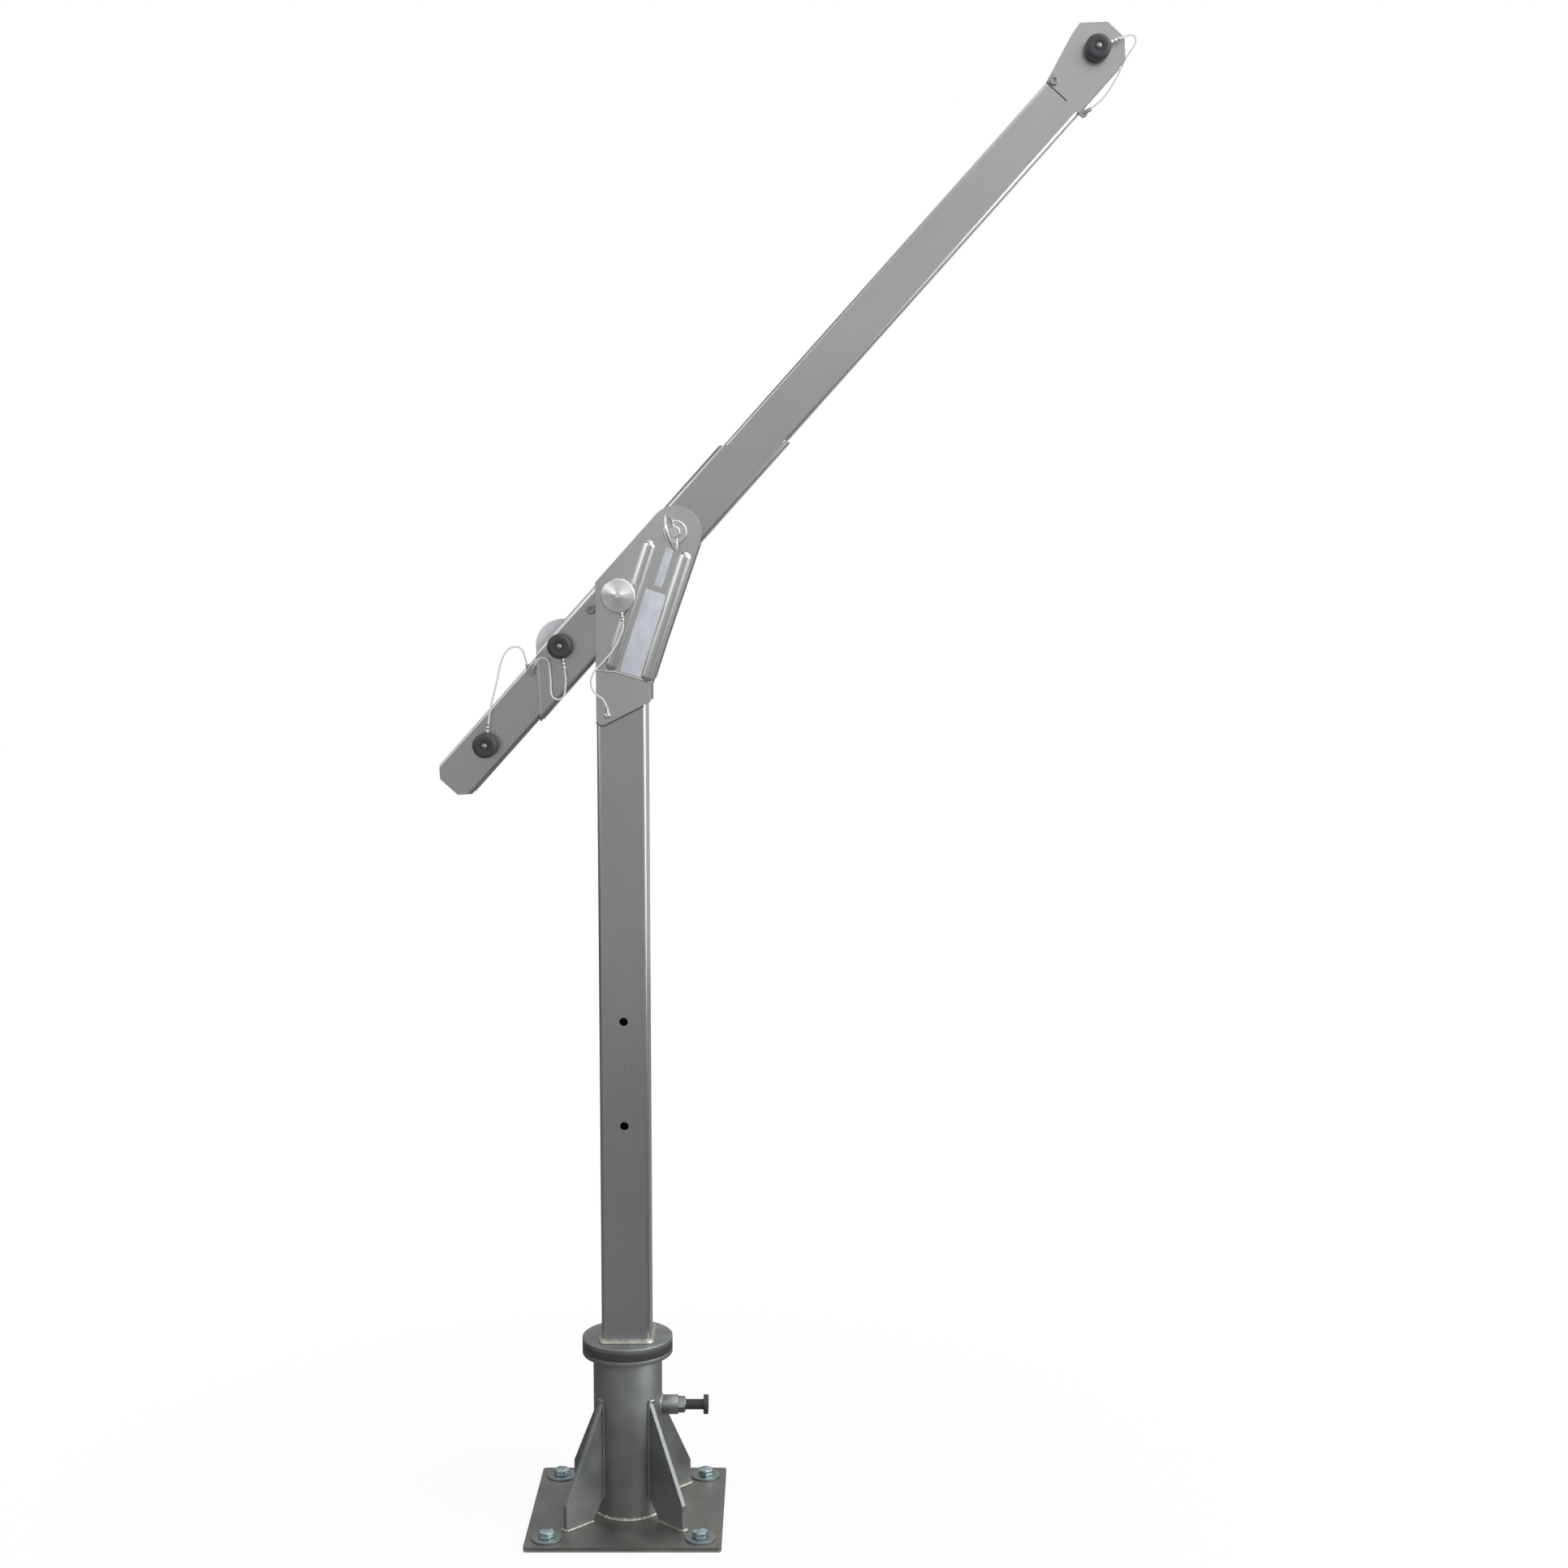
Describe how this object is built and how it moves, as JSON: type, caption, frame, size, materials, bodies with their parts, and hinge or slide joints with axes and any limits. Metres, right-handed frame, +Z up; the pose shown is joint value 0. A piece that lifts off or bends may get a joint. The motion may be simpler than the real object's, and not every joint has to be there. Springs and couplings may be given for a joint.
{
  "type": "folding davit crane",
  "caption": "Stainless davit crane: square mast on a bolted swivel base, carrying a folding boom with rope sheaves, quick-release pins on lanyards and a lock pin.",
  "frame": {"origin": "on the swivel axis, at the centre of the base plate's underside", "axes": "+Z up along the mast, +X the way the boom leans, -Y the side with the knobs and pin heads"},
  "size_m": [1.1061, 0.32, 2.4275],
  "materials": {
    "stainless": "satin",
    "turned_steel": "turned",
    "black_polymer": "moulded",
    "sheave_nylon": "turned",
    "bronze": "plain",
    "coated_rope": "clear coated"
  },
  "bodies": {
    "base": {"base_plate": "stainless", "socket_tube": "stainless", "socket_flange": "stainless", "gussets": "stainless", "bearing_ring": "black_polymer", "lower_bush": "black_polymer", "plunger_boss": "stainless", "plunger_housing": "turned_steel", "plunger_spring": "turned_steel"},
    "plunger": {"plunger_pin": "turned_steel", "plunger_knob": "black_polymer"},
    "mast": {"mast_flange": "stainless", "mast_spigot": "stainless", "spigot_collar": "stainless", "mast_tube": "stainless", "mast_cap": "stainless", "cheek_front": "stainless", "cheek_back": "stainless", "pivot_pin": "turned_steel", "pivot_circlip": "turned_steel", "pivot_washers": "black_polymer", "lock_bush": "stainless", "lock_eye": "turned_steel", "lock_lanyard": "coated_rope"},
    "ring": {"pull_ring": "turned_steel"},
    "lock": {"lock_pin": "turned_steel", "lock_ferrule": "turned_steel"},
    "boom": {"boom_tube": "stainless", "boom_sleeve": "stainless", "pivot_bush": "stainless", "tip_cheek_front": "stainless", "tip_cheek_back": "stainless", "keeper_bolts": "turned_steel", "sheave_spacers": "stainless", "tip_eye": "turned_steel", "tail_eye": "turned_steel", "tip_lanyard": "coated_rope", "tail_lanyard": "coated_rope", "sheave_lanyard": "coated_rope"},
    "tip_wheel": {"tip_sheave": "sheave_nylon", "tip_sheave_bush": "bronze"},
    "tail_wheel": {"tail_sheave": "sheave_nylon", "tail_sheave_bush": "bronze"},
    "roller": {"tail_roller": "sheave_nylon"},
    "tip_release": {"tip_pin": "turned_steel", "tip_knob": "black_polymer", "tip_ferrule": "turned_steel"},
    "sheave_release": {"sheave_pin": "turned_steel", "sheave_knob": "black_polymer", "sheave_ferrule": "turned_steel"},
    "tail_release": {"tail_pin": "turned_steel", "tail_knob": "black_polymer", "tail_ferrule": "turned_steel"},
    "tip_push": {"tip_button": "turned_steel"},
    "sheave_push": {"sheave_button": "turned_steel"},
    "tail_push": {"tail_button": "turned_steel"}
  },
  "joints": [
    {"name": "mast_swivel", "type": "hinge", "parent": "base", "child": "mast", "pos_m": [0, 0, 0.297], "axis": [0, 0, 1], "continuous": true},
    {"name": "plunger_pull", "type": "slide", "parent": "base", "child": "plunger", "axis": [1, 0, 0], "range_m": [0, 0.008], "stiffness_N_per_m": 1500, "springref_m": -0.006, "deforming": ["plunger_spring"]},
    {"name": "boom_fold", "type": "hinge", "parent": "mast", "child": "boom", "pos_m": [0.088, 0, 1.635], "axis": [0, 1, 0], "range_deg": [0, 135]},
    {"name": "lock_slide", "type": "slide", "parent": "mast", "child": "lock", "axis": [0, -1, 0], "range_m": [-0.009, 0.05]},
    {"name": "ring_swing", "type": "hinge", "parent": "mast", "child": "ring", "pos_m": [0.088, -0.0585, 1.635], "axis": [-0.2588, 0, 0.9659], "range_deg": [-65, 85]},
    {"name": "tip_pin_pull", "type": "slide", "parent": "boom", "child": "tip_release", "axis": [0, -1, 0], "range_m": [0, 0.07]},
    {"name": "sheave_pin_pull", "type": "slide", "parent": "boom", "child": "sheave_release", "axis": [0, -1, 0], "range_m": [0, 0.08]},
    {"name": "tail_pin_pull", "type": "slide", "parent": "boom", "child": "tail_release", "axis": [0, -1, 0], "range_m": [0, 0.07]},
    {"name": "tip_button_press", "type": "slide", "parent": "tip_release", "child": "tip_push", "axis": [0, 1, 0], "range_m": [0, 0.0025], "stiffness_N_per_m": 300, "springref_m": -0.004},
    {"name": "sheave_button_press", "type": "slide", "parent": "sheave_release", "child": "sheave_push", "axis": [0, 1, 0], "range_m": [0, 0.0025], "stiffness_N_per_m": 300, "springref_m": -0.004},
    {"name": "tail_button_press", "type": "slide", "parent": "tail_release", "child": "tail_push", "axis": [0, 1, 0], "range_m": [0, 0.0025], "stiffness_N_per_m": 300, "springref_m": -0.004},
    {"name": "tip_sheave_spin", "type": "hinge", "parent": "boom", "child": "tip_wheel", "pos_m": [0.7497, 0, 2.38484], "axis": [0, 1, 0], "continuous": true},
    {"name": "tail_sheave_spin", "type": "hinge", "parent": "boom", "child": "tail_wheel", "pos_m": [-0.09653, 0, 1.45398], "axis": [0, 1, 0], "continuous": true},
    {"name": "tail_roller_spin", "type": "hinge", "parent": "boom", "child": "roller", "pos_m": [-0.21846, 0, 1.29464], "axis": [0, 1, 0], "continuous": true}
  ]
}
